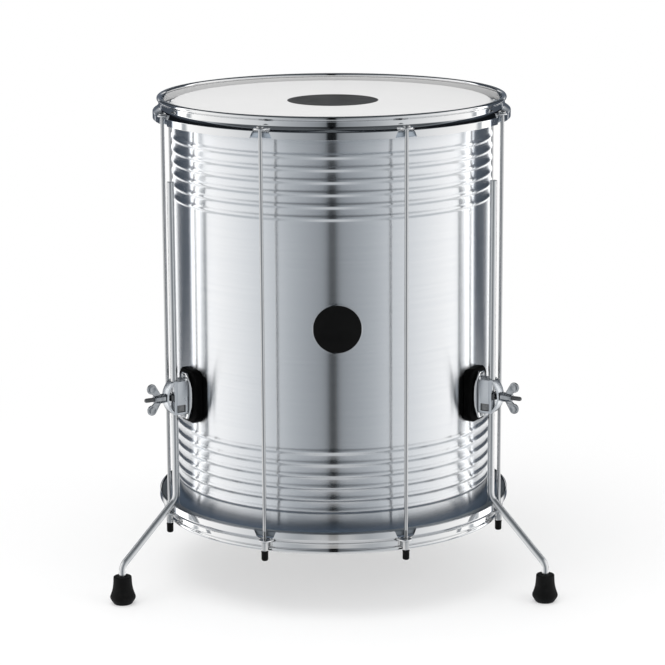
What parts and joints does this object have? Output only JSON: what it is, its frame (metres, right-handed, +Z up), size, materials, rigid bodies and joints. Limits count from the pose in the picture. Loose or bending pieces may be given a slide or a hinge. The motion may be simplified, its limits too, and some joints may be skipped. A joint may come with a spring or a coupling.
{
  "type": "floor surdo drum",
  "caption": "Floor-standing surdo drum with ribbed aluminium shell, tensioned heads between notched flanged hoops, and clamped bent legs on rubber feet.",
  "frame": {"origin": "centre of the footprint's bounding box, on the floor that the feet stand on", "axes": "+Z up along the drum's axis, -Y to the front where the badge sits, +X to the right seen from the front"},
  "size_m": [0.5972, 0.5824, 0.661],
  "materials": {
    "shell": "brushed, clear coated",
    "aluminium": "satin",
    "chrome": "polished",
    "cast": "cast and plated, softly polished",
    "film": "smooth white film",
    "rubber": "moulded matt black",
    "badge": "plain gloss black"
  },
  "bodies": {
    "drum": {"shell": "shell", "shell_badge": "badge", "batter_head": "film", "resonant_head": "film", "batter_flesh_hoop": "aluminium", "resonant_flesh_hoop": "aluminium", "top_counterhoop": "chrome", "bottom_counterhoop": "chrome", "tension_rod_1": "chrome", "rod_cap_1": "rubber", "tension_rod_2": "chrome", "rod_cap_2": "rubber", "tension_rod_3": "chrome", "rod_cap_3": "rubber", "tension_rod_4": "chrome", "rod_cap_4": "rubber", "tension_rod_5": "chrome", "rod_cap_5": "rubber", "tension_rod_6": "chrome", "rod_cap_6": "rubber", "tension_rod_7": "chrome", "rod_cap_7": "rubber", "tension_rod_8": "chrome", "rod_cap_8": "rubber", "front_left_bracket_gasket": "rubber", "front_left_bracket_plate": "chrome", "front_left_clamp_housing": "cast", "front_left_eye_bolt": "chrome", "front_left_upper_mount_screw": "chrome", "front_left_lower_mount_screw": "chrome", "front_right_bracket_gasket": "rubber", "front_right_bracket_plate": "chrome", "front_right_clamp_housing": "cast", "front_right_eye_bolt": "chrome", "front_right_upper_mount_screw": "chrome", "front_right_lower_mount_screw": "chrome", "rear_bracket_gasket": "rubber", "rear_bracket_plate": "chrome", "rear_clamp_housing": "cast", "rear_eye_bolt": "chrome", "rear_upper_mount_screw": "chrome", "rear_lower_mount_screw": "chrome"},
    "nut_1": {"tension_nut_1": "chrome"},
    "nut_2": {"tension_nut_2": "chrome"},
    "nut_3": {"tension_nut_3": "chrome"},
    "nut_4": {"tension_nut_4": "chrome"},
    "nut_5": {"tension_nut_5": "chrome"},
    "nut_6": {"tension_nut_6": "chrome"},
    "nut_7": {"tension_nut_7": "chrome"},
    "nut_8": {"tension_nut_8": "chrome"},
    "front_left_leg": {"front_left_leg_rod": "chrome", "front_left_leg_foot": "rubber"},
    "front_left_wing": {"front_left_wing_nut": "chrome"},
    "front_right_leg": {"front_right_leg_rod": "chrome", "front_right_leg_foot": "rubber"},
    "front_right_wing": {"front_right_wing_nut": "chrome"},
    "rear_leg": {"rear_leg_rod": "chrome", "rear_leg_foot": "rubber"},
    "rear_wing": {"rear_wing_nut": "chrome"}
  },
  "joints": [
    {"name": "nut_1_turn", "type": "hinge", "parent": "drum", "child": "nut_1", "pos_m": [0.09416, -0.2725, 0.098], "axis": [0, 0, 1], "continuous": true},
    {"name": "nut_2_turn", "type": "hinge", "parent": "drum", "child": "nut_2", "pos_m": [0.22307, -0.1411, 0.098], "axis": [0, 0, 1], "continuous": true},
    {"name": "nut_3_turn", "type": "hinge", "parent": "drum", "child": "nut_3", "pos_m": [0.2213, 0.04296, 0.098], "axis": [0, 0, 1], "continuous": true},
    {"name": "nut_4_turn", "type": "hinge", "parent": "drum", "child": "nut_4", "pos_m": [0.0899, 0.17187, 0.098], "axis": [0, 0, 1], "continuous": true},
    {"name": "nut_5_turn", "type": "hinge", "parent": "drum", "child": "nut_5", "pos_m": [-0.09416, 0.1701, 0.098], "axis": [0, 0, 1], "continuous": true},
    {"name": "nut_6_turn", "type": "hinge", "parent": "drum", "child": "nut_6", "pos_m": [-0.22307, 0.0387, 0.098], "axis": [0, 0, 1], "continuous": true},
    {"name": "nut_7_turn", "type": "hinge", "parent": "drum", "child": "nut_7", "pos_m": [-0.2213, -0.14536, 0.098], "axis": [0, 0, 1], "continuous": true},
    {"name": "nut_8_turn", "type": "hinge", "parent": "drum", "child": "nut_8", "pos_m": [-0.0899, -0.27427, 0.098], "axis": [0, 0, 1], "continuous": true},
    {"name": "front_left_leg_slide", "type": "slide", "parent": "drum", "child": "front_left_leg", "axis": [0, 0, 1], "range_m": [-0.008, 0.065]},
    {"name": "front_left_wing_turn", "type": "hinge", "parent": "drum", "child": "front_left_wing", "pos_m": [-0.22863, -0.1832, 0.2732], "axis": [-0.866, -0.5, 0], "continuous": true},
    {"name": "front_right_leg_slide", "type": "slide", "parent": "drum", "child": "front_right_leg", "axis": [0, 0, 1], "range_m": [-0.008, 0.065]},
    {"name": "front_right_wing_turn", "type": "hinge", "parent": "drum", "child": "front_right_wing", "pos_m": [0.22863, -0.1832, 0.2732], "axis": [0.866, -0.5, 0], "continuous": true},
    {"name": "rear_leg_slide", "type": "slide", "parent": "drum", "child": "rear_leg", "axis": [0, 0, 1], "range_m": [-0.008, 0.065]},
    {"name": "rear_wing_turn", "type": "hinge", "parent": "drum", "child": "rear_wing", "pos_m": [0, 0.2128, 0.2732], "axis": [0, 1, 0], "continuous": true}
  ]
}
